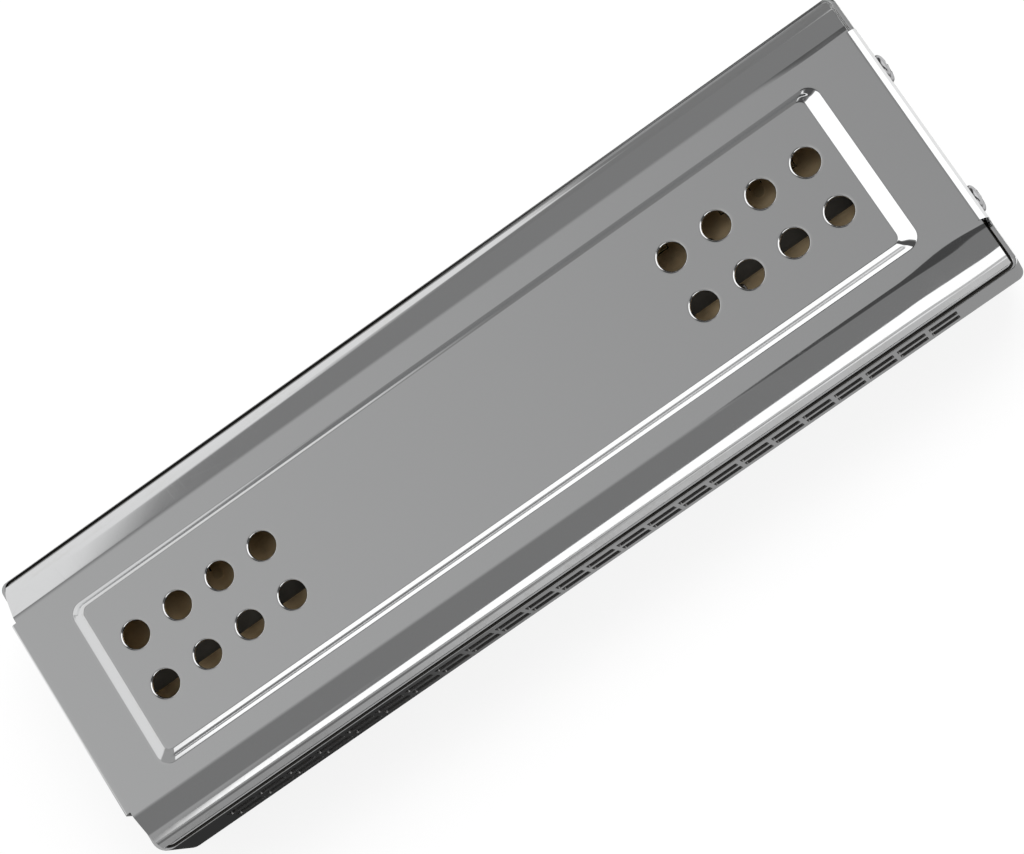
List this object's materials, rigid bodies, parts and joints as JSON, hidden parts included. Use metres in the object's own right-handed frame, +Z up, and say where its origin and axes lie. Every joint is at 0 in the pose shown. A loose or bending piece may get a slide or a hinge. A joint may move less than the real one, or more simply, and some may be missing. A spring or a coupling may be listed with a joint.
{
  "type": "tremolo harmonica",
  "caption": "Double-sided tremolo harmonica: chrome covers with raised panels and sound holes, windowed mouthpieces, comb, brass reed plates and swinging reeds.",
  "frame": {"origin": "middle of the lower cover's raised panel, the face that the instrument lies on", "axes": "+X along the length towards the front player's high notes, -Y out of the front mouth edge, +Z up through the upper cover"},
  "size_m": [0.1844, 0.0574, 0.0287],
  "materials": {
    "cover_chrome": "polished sheet metal, mirror bright",
    "mouthpiece_chrome": "polished",
    "comb_plastic": "moulded, satin black",
    "plate_brass": "rolled sheet, fine lengthwise grain",
    "reed_brass": "milled, fine scratches from tuning",
    "rivet_brass": "pressed",
    "screw_steel": "bright, turned"
  },
  "bodies": {
    "harmonica": {"comb": "comb_plastic", "mouthpiece_front": "mouthpiece_chrome", "mouthpiece_rear": "mouthpiece_chrome", "upper_cover": "cover_chrome", "lower_cover": "cover_chrome", "reed_plate_upper_front": "plate_brass", "reed_roots_upper_front": "reed_brass", "reed_rivets_upper_front": "rivet_brass", "plate_screws_upper_front": "screw_steel", "reed_plate_upper_rear": "plate_brass", "reed_roots_upper_rear": "reed_brass", "reed_rivets_upper_rear": "rivet_brass", "plate_screws_upper_rear": "screw_steel", "reed_plate_lower_front": "plate_brass", "reed_roots_lower_front": "reed_brass", "reed_rivets_lower_front": "rivet_brass", "plate_screws_lower_front": "screw_steel", "reed_plate_lower_rear": "plate_brass", "reed_roots_lower_rear": "reed_brass", "reed_rivets_lower_rear": "rivet_brass", "plate_screws_lower_rear": "screw_steel", "cover_screws_upper_left": "screw_steel", "cover_screws_upper_right": "screw_steel", "cover_screws_lower_left": "screw_steel", "cover_screws_lower_right": "screw_steel"},
    "blow_upper_front": {"blow_reeds_upper_front": "reed_brass"},
    "blow_upper_rear": {"blow_reeds_upper_rear": "reed_brass"},
    "blow_lower_front": {"blow_reeds_lower_front": "reed_brass"},
    "blow_lower_rear": {"blow_reeds_lower_rear": "reed_brass"},
    "draw_upper_front": {"draw_reeds_upper_front": "reed_brass"},
    "draw_upper_rear": {"draw_reeds_upper_rear": "reed_brass"},
    "draw_lower_front": {"draw_reeds_lower_front": "reed_brass"},
    "draw_lower_rear": {"draw_reeds_lower_rear": "reed_brass"}
  },
  "joints": [
    {"name": "blow_upper_front_swing", "type": "hinge", "parent": "harmonica", "child": "blow_upper_front", "pos_m": [0, -0.0089, 0.01849], "axis": [1, 0, 0], "range_deg": [-2.5, 2.5], "stiffness_Nm_per_rad": 0.02},
    {"name": "blow_upper_rear_swing", "type": "hinge", "parent": "harmonica", "child": "blow_upper_rear", "pos_m": [0, 0.0089, 0.01849], "axis": [-1, 0, 0], "range_deg": [-2.5, 2.5], "stiffness_Nm_per_rad": 0.02},
    {"name": "blow_lower_front_swing", "type": "hinge", "parent": "harmonica", "child": "blow_lower_front", "pos_m": [0, -0.0089, 0.01019], "axis": [-1, 0, 0], "range_deg": [-2.5, 2.5], "stiffness_Nm_per_rad": 0.02},
    {"name": "blow_lower_rear_swing", "type": "hinge", "parent": "harmonica", "child": "blow_lower_rear", "pos_m": [0, 0.0089, 0.01019], "axis": [1, 0, 0], "range_deg": [-2.5, 2.5], "stiffness_Nm_per_rad": 0.02},
    {"name": "draw_upper_front_swing", "type": "hinge", "parent": "harmonica", "child": "draw_upper_front", "pos_m": [0, -0.023, 0.01999], "axis": [1, 0, 0], "range_deg": [-2.5, 2.5], "stiffness_Nm_per_rad": 0.02},
    {"name": "draw_upper_rear_swing", "type": "hinge", "parent": "harmonica", "child": "draw_upper_rear", "pos_m": [0, 0.023, 0.01999], "axis": [-1, 0, 0], "range_deg": [-2.5, 2.5], "stiffness_Nm_per_rad": 0.02},
    {"name": "draw_lower_front_swing", "type": "hinge", "parent": "harmonica", "child": "draw_lower_front", "pos_m": [0, -0.023, 0.00869], "axis": [-1, 0, 0], "range_deg": [-2.5, 2.5], "stiffness_Nm_per_rad": 0.02},
    {"name": "draw_lower_rear_swing", "type": "hinge", "parent": "harmonica", "child": "draw_lower_rear", "pos_m": [0, 0.023, 0.00869], "axis": [1, 0, 0], "range_deg": [-2.5, 2.5], "stiffness_Nm_per_rad": 0.02}
  ],
  "couplings": [
    {"joint": "blow_lower_front_swing", "follows": "blow_upper_front_swing", "ratio": 1},
    {"joint": "blow_lower_rear_swing", "follows": "blow_upper_rear_swing", "ratio": 1},
    {"joint": "draw_lower_front_swing", "follows": "draw_upper_front_swing", "ratio": 1},
    {"joint": "draw_lower_rear_swing", "follows": "draw_upper_rear_swing", "ratio": 1}
  ]
}
